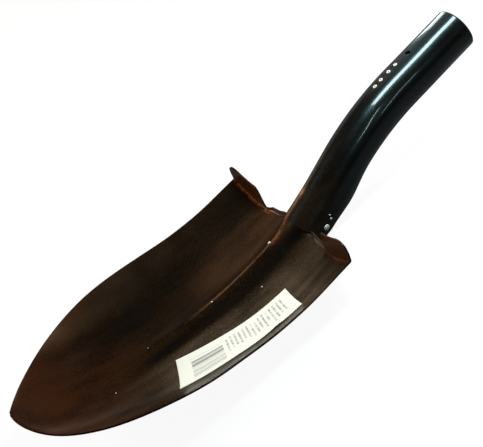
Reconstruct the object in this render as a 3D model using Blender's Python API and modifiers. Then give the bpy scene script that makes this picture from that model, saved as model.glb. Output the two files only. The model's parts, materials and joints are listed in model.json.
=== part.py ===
"""Head of a pointed digging spade, without its wooden handle.

The blade is one pressed sheet: dished, with a ridge up its middle and a tread folded
forward on each shoulder. The socket is a second sheet, rolled into a cranked tube and
welded to the end of the ridge. Everything is modelled in the blade's own frame, in
metres: X runs from the point to the handle, Z rises out of the dish. The empty at the
end lays the head down on its back, as it rests on a floor.
"""

import functools
import math

import bmesh
import bpy
import numpy as np
from mathutils import Vector

# Blade outline
BLADE_LENGTH = 0.279
BLADE_WIDTH = 0.1900
SHOULDER_WIDTH = 0.1870
POINT_LENGTH = 0.155
POINT_FULLNESS = 0.612
TIP_CHORD = 0.0006
SHOULDER_SLOPE = 0.095
SHEET = 0.0016

# Heights along the blade, each as (square root of the share of its length, height)
RIM_HEIGHT = ((0.0, 0.0014), (0.12, -0.0022), (0.29, -0.0052), (0.43, -0.0041), (0.60, -0.0012),
              (0.76, -0.0008), (0.855, 0.0012), (0.91, 0.0053), (1.0, 0.0181), (1.02, 0.0210))
TROUGH_HEIGHT = ((0.0, 0.0010), (0.12, -0.0038), (0.30, -0.0114), (0.42, -0.0170), (0.53, -0.0223),
                 (0.66, -0.0255), (0.76, -0.0252), (0.87, -0.0214), (0.94, -0.0138), (1.02, -0.0010))
RIDGE_HEIGHT = ((0.0, 0.0), (0.52, 0.0), (0.66, 0.0018), (0.79, 0.0058), (0.87, 0.0092),
                (0.94, 0.0116), (1.02, 0.0150))
TROUGH_OFFSET = 0.037
TROUGH_SHARE = 0.38
RIDGE_HALF_WIDTH = ((0.0, 0.018), (0.6, 0.023), (0.85, 0.031), (1.02, 0.031))
CREST_RADIUS = 0.004
CREST_ROUNDS_FROM = 0.89

# Treads folded forward on the shoulders
TREAD_HEIGHT = 0.0244
TREAD_CORNER = 0.017
TREAD_SPREAD = 0.0006
TREAD_ANGLE = math.radians(93.5)
FOLD_RADIUS = 0.0009
NOTCH_AT = 0.0500
NOTCH_WIDTH = 0.0085
LIP_HEIGHT = 0.0024
LIP_RISE = 0.0032
LIP_RISE_AT = 0.027
LIP_RISE_WIDTH = 0.0065
LIP_END = 0.0210
LIP_LEAN = 0.0030

# Socket
SOCKET_RADIUS_LOW = 0.0205
SOCKET_RADIUS_MOUTH = 0.0200
FRONT_FLARE = 0.0019
FRONT_FLARE_LENGTH = 0.040
JOINT_RADIUS = SOCKET_RADIUS_LOW + FRONT_FLARE
NECK_START = Vector((0.279, 0.0, -0.0168))
NECK_ANGLE = math.radians(35.6)
MOUTH_ANGLE = math.radians(16.6)
NECK_STRAIGHT = 0.0855
BEND_RADIUS = 0.250
MOUTH_STRAIGHT = 0.0740
JOINT_AT = 0.0175
BACK_CORNER_AT = 0.061
JOINT_HALF_ANGLE = math.radians(47)
END_CURVE = 3.0
SIDE_DROP = 0.0065
SIDE_DROP_AT = math.radians(100)
SIDE_DROP_WIDTH = math.radians(15)
BACK_FLARE = 0.0036
SEAM_GAP = 0.003
NAIL_HOLE_DIAMETER = 0.0048
NAIL_HOLE_FROM_MOUTH = 0.051

# Weld beads and paper label
GAP = 0.0003
SEAM_BEAD_RADIUS = SEAM_GAP / 2 - GAP
NECK_BEAD_RADIUS = 0.0015
LABEL_THICKNESS = 0.00025
LABEL_NEAR_END = ((0.132, -0.027), (0.119, -0.066))
LABEL_FAR_END = ((0.240, -0.041), (0.235, -0.080))
LABEL_BOW = 0.003

# Laying the head on its back
LIE_ANGLE = math.radians(7.7)

# Mesh density
BLADE_COLUMNS = 52
BLADE_ROWS = 32
COLUMN_SPACING = ((0.0, 0.0), (0.15, 0.12), (0.385, 0.45), (0.65, 0.605), (1.0, 1.0))
TREAD_ROWS = 7
SOCKET_COLUMNS = 36
SOCKET_ROWS = 26


def clear_scene():
    for obj in list(bpy.data.objects):
        bpy.data.objects.remove(obj, do_unlink=True)


def collection(name):
    made = bpy.data.collections.new(name)
    bpy.context.scene.collection.children.link(made)
    return made


def material(name, colour, roughness, metallic):
    made = bpy.data.materials.new(name)
    made.use_nodes = True
    shader = made.node_tree.nodes["Principled BSDF"]
    shader.inputs["Base Color"].default_value = (*colour, 1.0)
    shader.inputs["Roughness"].default_value = roughness
    shader.inputs["Metallic"].default_value = metallic
    made.diffuse_color = (*colour, 1.0)
    return made


@functools.cache
def curve_through(stations):
    places, heights = np.array(stations).T
    return places, heights, np.gradient(heights, places)


def profile(stations, at):
    """Height at one place along a smooth curve through the stations."""
    places, heights, slopes = curve_through(stations)
    k = int(np.clip(np.searchsorted(places, at) - 1, 0, len(places) - 2))
    span = places[k + 1] - places[k]
    t = (at - places[k]) / span
    return float(
        heights[k] * (1 + 2 * t) * (1 - t) ** 2
        + slopes[k] * span * t * (1 - t) ** 2
        + heights[k + 1] * t * t * (3 - 2 * t)
        + slopes[k + 1] * span * t * t * (t - 1)
    )


def half_width(along):
    """Half the blade's width: a full point, then sides that draw in a little to the shoulders."""
    if along < POINT_LENGTH:
        share = 1 - (1 - along / POINT_LENGTH) ** 2
        return BLADE_WIDTH / 2 * share ** POINT_FULLNESS
    share = min((along - POINT_LENGTH) / (BLADE_LENGTH - POINT_LENGTH), 1.0)
    return (BLADE_WIDTH + (SHOULDER_WIDTH - BLADE_WIDTH) * share * share) / 2


def smooth_step(share):
    share = min(max(share, 0.0), 1.0)
    return share * share * (3 - 2 * share)


def socket_front(along, across):
    """Height of the socket's front where it is carried on into the blade."""
    rise = math.sqrt(max(JOINT_RADIUS ** 2 - across ** 2, 0.0)) / math.cos(NECK_ANGLE)
    return NECK_START.z + (along - NECK_START.x) * math.tan(NECK_ANGLE) + rise


def ridge_height(station, across):
    """Height of the ridge: sharp along the blade, and round like the socket towards its end."""
    width = profile(RIDGE_HALF_WIDTH, station)
    rounded = (1 + math.cos(math.pi * min(abs(across) / width, 1.0))) / 2
    foot = math.hypot(width, CREST_RADIUS) - CREST_RADIUS
    sharp = (1 - min((math.hypot(across, CREST_RADIUS) - CREST_RADIUS) / foot, 1.0)) ** 1.6
    shape = sharp + (rounded - sharp) * smooth_step((station - CREST_ROUNDS_FROM) / 0.09)
    return profile(RIDGE_HEIGHT, station) * shape


def blade_height(along, across, half):
    """Front of the dished sheet, with the ridge in its middle running up into the socket."""
    station = math.sqrt(max(along, 0.0) / BLADE_LENGTH)
    rim = profile(RIM_HEIGHT, station)
    trough = profile(TROUGH_HEIGHT, station)
    offset = min(TROUGH_OFFSET, TROUGH_SHARE * half)
    climb = max(abs(across) - offset, 0.0) / (half - offset)
    height = trough + (rim - trough) * climb * climb + ridge_height(station, across)
    middle = 1 - smooth_step((abs(across) - 0.5 * JOINT_RADIUS) / (0.4 * JOINT_RADIUS))
    merged = middle * smooth_step(1 + (along - NECK_START.x) / JOINT_RADIUS)
    return height + merged * (socket_front(along, across) - height)


def shoulder_line(across):
    """Where the blade ends: two shoulders in a shallow V, and the weld face of the ridge."""
    shoulder = BLADE_LENGTH + SHOULDER_SLOPE * (SHOULDER_WIDTH / 2 - across)
    if across >= JOINT_RADIUS:
        return shoulder
    rise = math.sqrt(JOINT_RADIUS ** 2 - across ** 2)
    reach = (JOINT_AT - GAP / 2) * math.cos(NECK_ANGLE) - rise * math.sin(NECK_ANGLE)
    return min(shoulder, NECK_START.x + reach)


def blade_point(column, row):
    """Point of the blade's front, for column -1 to 1 (right to left) and row 0 to 1 (tip to shoulder)."""
    share = math.copysign(profile(COLUMN_SPACING, abs(column)), column)
    line = TIP_CHORD + (BLADE_LENGTH - TIP_CHORD) * row ** 1.5
    half = half_width(line)
    across = share * half
    end = shoulder_line(abs(share) * SHOULDER_WIDTH / 2)
    along = line + (end - BLADE_LENGTH) * row ** 3 - TIP_CHORD * (1 - share ** 2) * (1 - row) ** 4
    return Vector((along, across, blade_height(along, across, half)))


def tread_edge(across):
    """Where a tread's free edge stands for this place on its crease: (across, height)."""
    inset = min(max(across - (SHOULDER_WIDTH / 2 - TREAD_CORNER), 0.0), TREAD_CORNER)
    full = TREAD_HEIGHT - TREAD_CORNER + math.sqrt(TREAD_CORNER ** 2 - inset ** 2)
    lip = LIP_HEIGHT + LIP_RISE * math.exp(-(((across - LIP_RISE_AT) / LIP_RISE_WIDTH) ** 2))
    height = lip + (full - lip) * smooth_step((across - NOTCH_AT) / NOTCH_WIDTH + 0.45)
    pull = 0.8 * math.exp(-(((across - NOTCH_AT) / (NOTCH_WIDTH / 2)) ** 2))
    spread = TREAD_SPREAD * (inset / TREAD_CORNER) ** 2
    towards_socket = LIP_LEAN * max(1 - (across - LIP_END) / 0.012, 0.0)
    return across + (NOTCH_AT - across) * pull + spread - towards_socket, height


def tread_point(side, column, row):
    """Point of a tread's front: a small fold, then a flat flap that sinks to a low lip by the socket."""
    crease = blade_point(side * column, 1.0)
    below = blade_height(crease.x - 0.002, crease.y, SHOULDER_WIDTH / 2)
    start = math.atan2(crease.z - below, 0.002)
    across, height = tread_edge(abs(crease.y))
    folded = FOLD_RADIUS * (math.cos(start) - math.cos(TREAD_ANGLE))
    fold_share = 3 / TREAD_ROWS
    angle = start + (TREAD_ANGLE - start) * min(row / fold_share, 1.0)
    rise = FOLD_RADIUS * (math.cos(start) - math.cos(angle))
    reach = FOLD_RADIUS * (math.sin(angle) - math.sin(start))
    if row > fold_share:
        share = (row - fold_share) / (1 - fold_share)
        rise += (max(height, folded) - folded) * share
        reach += (rise - folded) / math.tan(TREAD_ANGLE)
    lean = (across - abs(crease.y)) * rise / max(height, folded)
    return Vector((crease.x + reach, crease.y + side * lean, crease.z + rise))


def bent_grid(columns, rows, place):
    """A flat grid whose points are moved to place(column, row), both from 0 to 1."""
    grid = bmesh.new()
    bmesh.ops.create_grid(grid, x_segments=columns, y_segments=rows, size=0.5)
    for vertex in grid.verts:
        vertex.co = place(vertex.co.x + 0.5, vertex.co.y + 0.5)
    return grid


def mesh_object(name, grid, holder, finish, inside_out=False):
    """Object of a bmesh, merged where its grids meet, with its faces turned the right way."""
    bmesh.ops.remove_doubles(grid, verts=grid.verts, dist=0.00001)
    if inside_out:
        bmesh.ops.reverse_faces(grid, faces=grid.faces)
    mesh = bpy.data.meshes.new(name)
    grid.to_mesh(mesh)
    grid.free()
    mesh.materials.append(finish)
    mesh.shade_smooth()
    made = bpy.data.objects.new(name, mesh)
    holder.objects.link(made)
    return made


def solidify(obj, thickness, offset):
    wall = obj.modifiers.new("sheet thickness", "SOLIDIFY")
    wall.thickness = thickness
    wall.offset = offset
    wall.use_even_offset = True


def make_blade(holder):
    joined = bent_grid(BLADE_COLUMNS, BLADE_ROWS, lambda u, v: blade_point(1 - 2 * u, v))
    flap = bpy.data.meshes.new("tread flap")
    columns = [2 * step / BLADE_COLUMNS for step in range(BLADE_COLUMNS // 2 + 1)]
    inner = min(c for c in columns if blade_point(c, 1.0).y >= LIP_END)
    tread_columns = round(BLADE_COLUMNS / 2 * (1 - inner))
    for side in (-1, 1):
        tread = bent_grid(
            tread_columns, TREAD_ROWS, lambda u, v: tread_point(side, inner + (1 - inner) * u, v)
        )
        if side > 0:
            bmesh.ops.reverse_faces(tread, faces=tread.faces)
        tread.to_mesh(flap)
        tread.free()
        joined.from_mesh(flap)
    bpy.data.meshes.remove(flap)
    bmesh.ops.remove_doubles(joined, verts=joined.verts, dist=0.00001)
    bmesh.ops.recalc_face_normals(joined, faces=joined.faces)
    widest = max(joined.faces, key=lambda face: face.calc_area())
    upside_down = widest.normal.z < 0
    finish = material("brown black lacquer", (0.030, 0.014, 0.008), 0.32, 0.4)
    blade = mesh_object("blade", joined, holder, finish, upside_down)
    solidify(blade, SHEET, -1)
    return blade


def centreline(at):
    """Place and slope of the socket's axis, measured along it from the neck's start."""
    bend = BEND_RADIUS * (NECK_ANGLE - MOUTH_ANGLE)
    straight = min(at, NECK_STRAIGHT)
    place = NECK_START + straight * Vector((math.cos(NECK_ANGLE), 0, math.sin(NECK_ANGLE)))
    turned = min(max(at - NECK_STRAIGHT, 0.0), bend) / BEND_RADIUS
    angle = NECK_ANGLE - turned
    place += BEND_RADIUS * Vector(
        (math.sin(NECK_ANGLE) - math.sin(angle), 0, math.cos(angle) - math.cos(NECK_ANGLE))
    )
    last = max(at - NECK_STRAIGHT - bend, 0.0)
    return place + last * Vector((math.cos(angle), 0, math.sin(angle))), angle


SOCKET_END = NECK_STRAIGHT + BEND_RADIUS * (NECK_ANGLE - MOUTH_ANGLE) + MOUTH_STRAIGHT


def around_socket(at, turn, radius):
    """Point at this radius from the axis. Turn 0 is the front of the socket, pi its back."""
    place, angle = centreline(at)
    front = Vector((-math.sin(angle), 0, math.cos(angle)))
    return place + radius * (math.cos(turn) * front + math.sin(turn) * Vector((0, 1, 0)))


def socket_radius(at, turn):
    """Outer radius, with a flare in front near the blade and one at the open back."""
    radius = SOCKET_RADIUS_LOW + (SOCKET_RADIUS_MOUTH - SOCKET_RADIUS_LOW) * at / SOCKET_END
    near_blade = max(1 - max(at - JOINT_AT, 0.0) / FRONT_FLARE_LENGTH, 0.0) ** 1.5
    radius += FRONT_FLARE * near_blade * smooth_step(2 - abs(turn) / math.radians(60))
    towards_back = max(abs(turn) / math.pi - 0.5, 0.0) * 2
    near_corner = math.exp(-(((at - BACK_CORNER_AT) / 0.024) ** 2))
    return radius + BACK_FLARE * towards_back ** 2 * near_corner


def socket_foot(turn):
    """Where the rolled sheet starts: square in front, lower at the sides, then up to the back corner."""
    share = max(abs(turn) - JOINT_HALF_ANGLE, 0.0) / (math.pi - JOINT_HALF_ANGLE)
    drop = SIDE_DROP * math.exp(-(((abs(turn) - SIDE_DROP_AT) / SIDE_DROP_WIDTH) ** 2))
    return JOINT_AT + GAP / 2 - drop + (BACK_CORNER_AT - JOINT_AT) * share ** END_CURVE


def socket_point(column, row):
    turn = (2 * column - 1) * (math.pi - SEAM_GAP / 2 / SOCKET_RADIUS_LOW)
    foot = socket_foot(turn)
    at = foot + (SOCKET_END - foot) * row
    return around_socket(at, turn, socket_radius(at, turn))


def make_cutter(name, holder, radius, depth, place, direction):
    rod = bmesh.new()
    bmesh.ops.create_cone(
        rod, cap_ends=True, segments=24, radius1=radius, radius2=radius, depth=depth
    )
    mesh = bpy.data.meshes.new(name)
    rod.to_mesh(mesh)
    rod.free()
    cutter = bpy.data.objects.new(name, mesh)
    cutter.location = place
    cutter.rotation_euler = direction.to_track_quat("Z", "Y").to_euler()
    cutter.hide_render = True
    cutter.display_type = "WIRE"
    holder.objects.link(cutter)
    return cutter


def make_socket(holder, cutters):
    grid = bent_grid(SOCKET_COLUMNS, SOCKET_ROWS, socket_point)
    finish = material("blue black lacquer", (0.012, 0.014, 0.016), 0.25, 0.4)
    socket = mesh_object("socket", grid, holder, finish, inside_out=True)
    solidify(socket, SHEET, -1)
    at = SOCKET_END - NAIL_HOLE_FROM_MOUTH
    place = around_socket(at, 0.0, SOCKET_RADIUS_MOUTH)
    axis = place - around_socket(at, 0.0, 0.0)
    drill = make_cutter(
        "nail hole drill", cutters, NAIL_HOLE_DIAMETER / 2, 4 * SHEET, place, axis
    )
    hole = socket.modifiers.new("nail hole", "BOOLEAN")
    hole.operation = "DIFFERENCE"
    hole.object = drill
    return socket, drill


def make_bead(name, points, radius, holder, finish):
    """A weld bead: a round rod along the points, closed at both ends."""
    curve = bpy.data.curves.new(name, "CURVE")
    curve.dimensions = "3D"
    curve.bevel_depth = radius
    curve.bevel_resolution = 2
    curve.use_fill_caps = True
    line = curve.splines.new("POLY")
    line.points.add(len(points) - 1)
    for spline_point, place in zip(line.points, points):
        spline_point.co = (*place, 1.0)
    curve.materials.append(finish)
    made = bpy.data.objects.new(name, curve)
    holder.objects.link(made)
    return made


def make_welds(holder):
    finish = material("lacquered weld", (0.014, 0.013, 0.013), 0.4, 0.4)
    first = BACK_CORNER_AT + 0.001
    steps = 24
    seam = []
    for step in range(steps + 1):
        at = first + (SOCKET_END - 0.001 - first) * step / steps
        seam.append(around_socket(at, math.pi, socket_radius(at, math.pi) - SHEET / 2 + 0.0003))
    inside = SHEET + GAP + NECK_BEAD_RADIUS
    turns = [JOINT_HALF_ANGLE * (step / 8 - 1) for step in range(17)]
    neck = [around_socket(JOINT_AT, turn, socket_radius(JOINT_AT, turn) - inside) for turn in turns]
    return [
        make_bead("socket_seam_weld", seam, SEAM_BEAD_RADIUS, holder, finish),
        make_bead("neck_weld", neck, NECK_BEAD_RADIUS, holder, finish),
    ]


def label_point(column, row):
    """Point of the paper, laid on the blade's front beside its right edge."""
    place = [0.0, 0.0]
    for axis in (0, 1):
        near = LABEL_NEAR_END[0][axis] * (1 - row) + LABEL_NEAR_END[1][axis] * row
        far = LABEL_FAR_END[0][axis] * (1 - row) + LABEL_FAR_END[1][axis] * row
        place[axis] = near * (1 - column) + far * column
    along = place[0]
    across = place[1] - 4 * LABEL_BOW * column * (1 - column)
    return Vector((along, across, blade_height(along, across, half_width(along)) + GAP))


def make_label(holder):
    grid = bent_grid(24, 10, label_point)
    finish = material("white paper", (0.83, 0.82, 0.76), 0.6, 0.0)
    label = mesh_object("paper_label", grid, holder, finish, inside_out=True)
    solidify(label, LABEL_THICKNESS, 1)
    return label


def lay_down(pieces, holder):
    """Turns the head onto its back and puts the origin under the middle of it, on the floor."""
    rest = bpy.data.objects.new("rest_pose", None)
    rest.rotation_euler = (0.0, LIE_ANGLE, 0.0)
    holder.objects.link(rest)
    for piece in pieces:
        piece.parent = rest
    bpy.context.view_layer.update()
    graph = bpy.context.evaluated_depsgraph_get()
    corners = []
    for piece in pieces:
        if piece.hide_render:
            continue
        evaluated = piece.evaluated_get(graph)
        mesh = evaluated.to_mesh()
        corners += [evaluated.matrix_world @ vertex.co for vertex in mesh.vertices]
        evaluated.to_mesh_clear()
    points = np.array(corners)
    low = points.min(axis=0)
    high = points.max(axis=0)
    middle = (low + high) / 2
    rest.location = (-middle[0], -middle[1], -low[2])


def build():
    clear_scene()
    spade = collection("digging spade head")
    cutters = collection("cutters")
    blade = make_blade(spade)
    socket, drill = make_socket(spade, cutters)
    pieces = [blade, socket, drill, make_label(spade), *make_welds(spade)]
    lay_down(pieces, spade)


build()
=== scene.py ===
# %% [markdown]
# # The head of a pointed digging spade
# This lesson dresses a digging spade head: a pressed steel blade with a ridge up its
# middle and two folded treads, a cranked socket rolled from a second sheet, two weld beads,
# a paper label, and a few lacquer drops and punch marks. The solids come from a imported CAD
# model, which gives every piece its place. Here each gets a finer double with soft edges
# and a real finish, because CAD facets would show in a glossy lacquer.

import json
import math

import bmesh
import bpy
import numpy as np
from mathutils import Matrix, Vector

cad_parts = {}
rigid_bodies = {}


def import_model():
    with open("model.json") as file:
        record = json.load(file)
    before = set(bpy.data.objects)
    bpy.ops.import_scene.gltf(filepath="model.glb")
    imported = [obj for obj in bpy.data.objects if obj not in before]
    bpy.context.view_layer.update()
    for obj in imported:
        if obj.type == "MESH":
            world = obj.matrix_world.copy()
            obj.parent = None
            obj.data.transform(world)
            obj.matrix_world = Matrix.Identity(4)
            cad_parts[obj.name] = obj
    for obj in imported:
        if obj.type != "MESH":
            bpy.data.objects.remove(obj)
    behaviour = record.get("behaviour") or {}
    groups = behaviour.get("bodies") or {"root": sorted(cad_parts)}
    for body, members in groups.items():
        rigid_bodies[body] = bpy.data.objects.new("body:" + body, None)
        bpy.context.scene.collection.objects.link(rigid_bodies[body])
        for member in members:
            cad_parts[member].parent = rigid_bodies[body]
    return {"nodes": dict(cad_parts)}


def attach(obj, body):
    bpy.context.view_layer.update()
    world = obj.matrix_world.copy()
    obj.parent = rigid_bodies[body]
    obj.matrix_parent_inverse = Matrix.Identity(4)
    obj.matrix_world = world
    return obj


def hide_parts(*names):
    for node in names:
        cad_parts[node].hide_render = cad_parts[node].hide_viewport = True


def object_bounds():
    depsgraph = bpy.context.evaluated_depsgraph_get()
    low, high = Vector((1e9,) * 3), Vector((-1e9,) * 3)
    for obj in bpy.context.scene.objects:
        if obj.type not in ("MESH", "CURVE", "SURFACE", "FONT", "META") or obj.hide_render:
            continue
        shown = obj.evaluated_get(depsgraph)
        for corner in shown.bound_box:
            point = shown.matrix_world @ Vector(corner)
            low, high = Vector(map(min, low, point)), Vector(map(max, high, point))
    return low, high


for startup in list(bpy.data.objects):
    bpy.data.objects.remove(startup, do_unlink=True)
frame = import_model()
cad_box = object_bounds()


def new_object(name, data):
    """An object in the scene that shows a mesh, a light or the camera."""
    made = bpy.data.objects.new(name, data)
    bpy.context.scene.collection.objects.link(made)
    return made


print("packed nodes:", ", ".join(sorted(frame["nodes"])))
print("CAD box:", cad_box)

# %% [markdown]
# ## The blade's own frame
# The head lies on its back, tilted by a few degrees. All of its shapes are easier to say in
# the blade's own frame, with X from the point to the handle and Z out of the dish, so every
# piece is made there first. One matrix then lays it down where the CAD put it.

# %% From the blade's frame to the floor
LIE_ANGLE = math.radians(7.7)
BLADE_ORIGIN = Vector((-0.25146, 0.0, 0.05280))
LAY_DOWN = Matrix.Translation(BLADE_ORIGIN) @ Matrix.Rotation(LIE_ANGLE, 4, "Y")


def laid_down(points):
    """The same points, an array of rows, with the head lying on its back."""
    turn = np.array(LAY_DOWN.to_3x3())
    return points @ turn.T + np.array(LAY_DOWN.translation)


print("the blade's point lies at", [round(c, 4) for c in laid_down(np.zeros(3))])

# %% [markdown]
# ## The camera
# The photograph looks down on the head from the right of the blade, with the socket
# running away to the upper right. The camera's place and turn were fitted to the outline
# in the photograph, in the blade's frame. Its three directions are given as they were
# fitted, and its focal length too, in pixels of the photograph.

# %% Make the camera
CAMERA_PLACE = Vector((0.062677, -0.535036, 0.432377))
CAMERA_RIGHT = Vector((0.81286913, -0.49504932, -0.30687122))
CAMERA_UP = Vector((0.52289964, 0.38819075, 0.75887015))
CAMERA_AHEAD = Vector((0.25655358, 0.77732497, -0.57440939))
PHOTO_WIDTH = 483.0
FOCAL_PIXELS = 812.0
SENSOR_WIDTH = 36.0

camera_data = bpy.data.cameras.new("photo camera")
camera_data.sensor_fit = "HORIZONTAL"
camera_data.sensor_width = SENSOR_WIDTH
camera_data.lens = SENSOR_WIDTH * FOCAL_PIXELS / PHOTO_WIDTH
camera_data.clip_start = 0.01
camera = new_object("photo camera", camera_data)
facing = Matrix((CAMERA_RIGHT, CAMERA_UP, -CAMERA_AHEAD)).transposed().to_4x4()
camera.matrix_world = LAY_DOWN @ Matrix.Translation(CAMERA_PLACE) @ facing
bpy.context.scene.camera = camera
print("camera at", tuple(round(c, 3) for c in camera.matrix_world.translation))

# %% [markdown]
# ## Curves through stations
# A pressed sheet has no straight lines: its rim, its two troughs and its ridge each rise
# and fall along the blade. Each is a short list of stations, and a smooth cubic runs
# through them. A station is placed by the square root of its share of the length, which
# gives the point of the blade more room. Small smooth steps and humps do the rest, for
# shapes here and for wear further down.

# %% Smooth curves, steps and humps


def curve(stations, at):
    """Heights at these places along the smooth curve through the stations."""
    places, heights = np.array(stations).T
    slopes = np.gradient(heights, places)
    k = np.clip(np.searchsorted(places, at) - 1, 0, len(places) - 2)
    span = places[k + 1] - places[k]
    t = (at - places[k]) / span
    return (
        heights[k] * (1 + 2 * t) * (1 - t) ** 2
        + slopes[k] * span * t * (1 - t) ** 2
        + heights[k + 1] * t * t * (3 - 2 * t)
        + slopes[k + 1] * span * t * t * (t - 1)
    )


def smooth_step(share):
    """0 up to 0, 1 from 1 on, and smooth between them."""
    share = np.clip(share, 0.0, 1.0)
    return share * share * (3 - 2 * share)


def rising(value, start, length):
    """0 up to the start, and 1 from one length beyond it."""
    return smooth_step((value - start) / length)


def fading(value, end, length):
    """1 up to one length before the end, and 0 beyond it."""
    return smooth_step((end - value) / length)


def hump(value, centre, width):
    """1 at the centre, falling away smoothly on both sides."""
    return np.exp(-(((value - centre) / width) ** 2))


print("a quarter of the way up a smooth step:", rising(0.25, 0.0, 1.0))

# %% The blade's measures
BLADE_LENGTH = 0.279
BLADE_WIDTH = 0.1900
SHOULDER_WIDTH = 0.1870
POINT_LENGTH = 0.155
POINT_FULLNESS = 0.612
TIP_CHORD = 0.0006
SHOULDER_SLOPE = 0.095
SHEET = 0.0016
TROUGH_OFFSET = 0.037
TROUGH_SHARE = 0.38
RIM_HEIGHT = ((0.0, 0.0014), (0.12, -0.0022), (0.29, -0.0052), (0.43, -0.0041), (0.60, -0.0012),
              (0.76, -0.0008), (0.855, 0.0012), (0.91, 0.0053), (1.0, 0.0181), (1.02, 0.0210))
TROUGH_HEIGHT = ((0.0, 0.0010), (0.12, -0.0038), (0.30, -0.0114), (0.42, -0.0170), (0.53, -0.0223),
                 (0.66, -0.0255), (0.76, -0.0252), (0.87, -0.0214), (0.94, -0.0138), (1.02, -0.0010))
RIDGE_HEIGHT = ((0.0, 0.0), (0.52, 0.0), (0.66, 0.0018), (0.79, 0.0058), (0.87, 0.0092),
                (0.94, 0.0116), (1.02, 0.0150))
RIDGE_HALF_WIDTH = ((0.0, 0.018), (0.6, 0.023), (0.85, 0.031), (1.02, 0.031))
CREST_RADIUS = ((0.0, 0.004), (0.78, 0.004), (0.83, 0.0022), (0.87, 0.0012), (1.02, 0.0012))
RIDGE_SHARPNESS = 1.6
CREST_ROUNDS_FROM = 0.93
CREST_ROUNDS_OVER = 0.07
print(f"blade {BLADE_LENGTH * 1000:.0f} by {BLADE_WIDTH * 1000:.0f} mm")

# %% The socket's measures
SOCKET_RADIUS_LOW = 0.0205
SOCKET_RADIUS_MOUTH = 0.0200
FRONT_FLARE = 0.0019
JOINT_RADIUS = SOCKET_RADIUS_LOW + FRONT_FLARE
NECK_START = (0.279, 0.0, -0.0168)
NECK_ANGLE = math.radians(35.6)
MOUTH_ANGLE = math.radians(16.6)
NECK_STRAIGHT = 0.0855
BEND_RADIUS = 0.250
BEND_LENGTH = BEND_RADIUS * (NECK_ANGLE - MOUTH_ANGLE)
MOUTH_STRAIGHT = 0.0740
SOCKET_END = NECK_STRAIGHT + BEND_LENGTH + MOUTH_STRAIGHT
JOINT_AT = 0.0175
JOINT_HALF_ANGLE = math.radians(47)
BACK_CORNER_AT = 0.061
BACK_FLARE = 0.0042
FLARE_FROM = 0.39
FLARE_LENGTH = 0.020
FLARE_CURVE = 1.5
SEAM_GAP = 0.003
print(f"socket axis {SOCKET_END * 1000:.1f} mm long")

# %% [markdown]
# ## The pressed sheet
# The blade starts as a flat grid. Each of its points is sent to a place on the blade: the
# column gives its share of the width, the row its distance from the point. The height is a
# parabola that climbs from the trough to the rim, plus the ridge, and near the handle it
# runs over into the round front of the socket, as the real sheet does.

# %% Shape of the dish
MERGE_FROM = 0.5 * JOINT_RADIUS
MERGE_OVER = 0.4 * JOINT_RADIUS


def joint_rise(across):
    """How high the round joint stands over its own middle."""
    return np.sqrt(np.clip(JOINT_RADIUS ** 2 - across ** 2, 0.0, None))


def half_width(along):
    """Half of the blade's width at a distance from its point."""
    point = np.clip(1 - (1 - along / POINT_LENGTH) ** 2, 0.0, None)
    share = np.clip((along - POINT_LENGTH) / (BLADE_LENGTH - POINT_LENGTH), 0.0, 1.0)
    sides = (BLADE_WIDTH + (SHOULDER_WIDTH - BLADE_WIDTH) * share * share) / 2
    return np.where(along < POINT_LENGTH, BLADE_WIDTH / 2 * point ** POINT_FULLNESS, sides)


def socket_front(along, across):
    """Height of the socket's front, which the blade runs over into."""
    rise = joint_rise(across) / math.cos(NECK_ANGLE)
    return NECK_START[2] + (along - NECK_START[0]) * math.tan(NECK_ANGLE) + rise


def ridge_height(station, across):
    """Sharp along the blade, and round like the socket towards its end."""
    width = curve(RIDGE_HALF_WIDTH, station)
    radius = curve(CREST_RADIUS, station)
    rounded = (1 + np.cos(np.pi * np.minimum(np.abs(across) / width, 1.0))) / 2
    foot = np.hypot(width, radius) - radius
    sharp = (1 - np.minimum((np.hypot(across, radius) - radius) / foot, 1.0)) ** RIDGE_SHARPNESS
    shape = sharp + (rounded - sharp) * rising(station, CREST_ROUNDS_FROM, CREST_ROUNDS_OVER)
    return curve(RIDGE_HEIGHT, station) * shape


def blade_height(along, across, half):
    station = np.sqrt(np.clip(along, 0.0, None) / BLADE_LENGTH)
    rim = curve(RIM_HEIGHT, station)
    trough = curve(TROUGH_HEIGHT, station)
    offset = np.minimum(TROUGH_OFFSET, TROUGH_SHARE * half)
    climb = np.clip(np.abs(across) - offset, 0.0, None) / np.maximum(half - offset, 1e-9)
    height = trough + (rim - trough) * climb * climb + ridge_height(station, across)
    in_middle = 1 - rising(np.abs(across), MERGE_FROM, MERGE_OVER)
    merged = in_middle * smooth_step(1 + (along - NECK_START[0]) / JOINT_RADIUS)
    return height + merged * (socket_front(along, across) - height)


deepest = blade_height(np.array([0.17]), np.array([TROUGH_OFFSET]), np.array([BLADE_WIDTH / 2]))[0]
print(f"the trough lies {-deepest * 1000:.1f} mm deep")

# %% Outline of the shoulders, and a point of the sheet


def shoulder_line(across):
    """Where the sheet ends: the crease of a tread, or the joint with the socket."""
    shoulder = BLADE_LENGTH + SHOULDER_SLOPE * (SHOULDER_WIDTH / 2 - across)
    joint = NECK_START[0] + JOINT_AT * math.cos(NECK_ANGLE) - joint_rise(across) * math.sin(NECK_ANGLE)
    return np.where(across >= JOINT_RADIUS, shoulder, np.minimum(shoulder, joint))


def blade_points(share, row):
    """Points of the front, for a share of the width from -1 to 1 and a row from 0 to 1."""
    line = TIP_CHORD + (BLADE_LENGTH - TIP_CHORD) * row ** 1.5
    half = half_width(line)
    across = share * half
    end = shoulder_line(np.abs(share) * SHOULDER_WIDTH / 2)
    along = line + (end - BLADE_LENGTH) * row ** 3
    along = along - TIP_CHORD * (1 - share ** 2) * (1 - row) ** 4
    return np.stack([along, across, blade_height(along, across, half)], axis=-1)


print(f"the sheet ends {shoulder_line(0.0) * 1000:.1f} mm from the point in the middle")

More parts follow.
